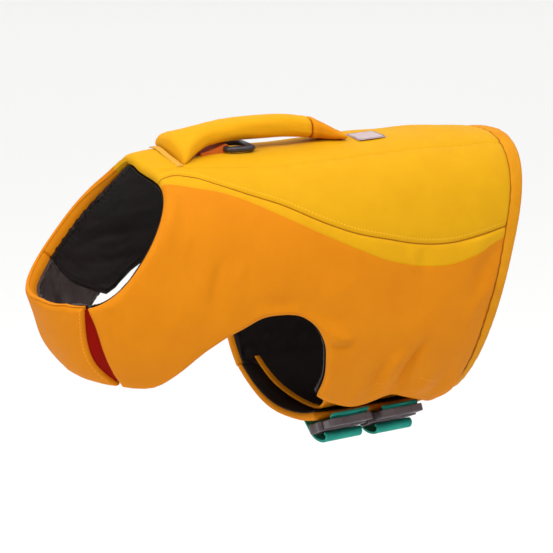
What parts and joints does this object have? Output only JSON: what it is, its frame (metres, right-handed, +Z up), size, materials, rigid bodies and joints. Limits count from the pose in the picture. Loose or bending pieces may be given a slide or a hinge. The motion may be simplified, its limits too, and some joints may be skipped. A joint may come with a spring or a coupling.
{
  "type": "dog life jacket",
  "caption": "Padded dog life jacket, filled out as if worn, with a back handle, a leash ring, a chest closure and belly straps with side release buckles.",
  "frame": {"origin": "where the jacket rests on the dog's back: on the lining under the mid-back line, 116 mm behind the neck edge", "axes": "+X towards the tail, +Y towards the dog's right, +Z up"},
  "size_m": [0.4598, 0.1943, 0.3075],
  "materials": {
    "shell_yellow": "yellow-orange woven nylon over foam",
    "shell_gold": "deeper gold woven nylon stripe",
    "shell_orange": "orange woven nylon over foam",
    "gusset_red": "deep red stretch cloth",
    "lining_dark": "charcoal lining cloth",
    "webbing_teal": "teal woven webbing",
    "plastic_grey": "moulded grey nylon",
    "ring_metal": "dark anodised round bar",
    "label_pale": "pale woven patch, left blank"
  },
  "bodies": {
    "jacket": {"spine_panel": "shell_yellow", "lining_spine": "lining_dark", "upper_left": "shell_yellow", "stripe_left": "shell_gold", "side_left": "shell_orange", "lining_left": "lining_dark", "upper_right": "shell_yellow", "stripe_right": "shell_gold", "side_right": "shell_orange", "lining_right": "lining_dark", "tail_band": "shell_orange", "chest_panel": "shell_orange", "lining_chest": "lining_dark", "chest_gusset": "gusset_red", "belly_flap": "shell_orange", "lining_belly": "lining_dark", "inner_flap": "shell_orange", "lining_flap": "lining_dark", "handle_grip": "shell_yellow", "handle_rear": "shell_orange", "handle_tape": "shell_gold", "ring_tab": "shell_orange", "label_patch": "label_pale", "strap_front": "webbing_teal", "tongue_front": "webbing_teal", "socket_front": "plastic_grey", "plug_front": "plastic_grey", "strap_rear": "webbing_teal", "tongue_rear": "webbing_teal", "socket_rear": "plastic_grey", "plug_rear": "plastic_grey"},
    "leash_ring": {"leash_ring": "ring_metal"}
  },
  "joints": [
    {"name": "ring_hinge", "type": "hinge", "parent": "jacket", "child": "leash_ring", "pos_m": [-0.034, 0, 0.01475], "axis": [0, -1, 0], "range_deg": [0, 6]}
  ]
}
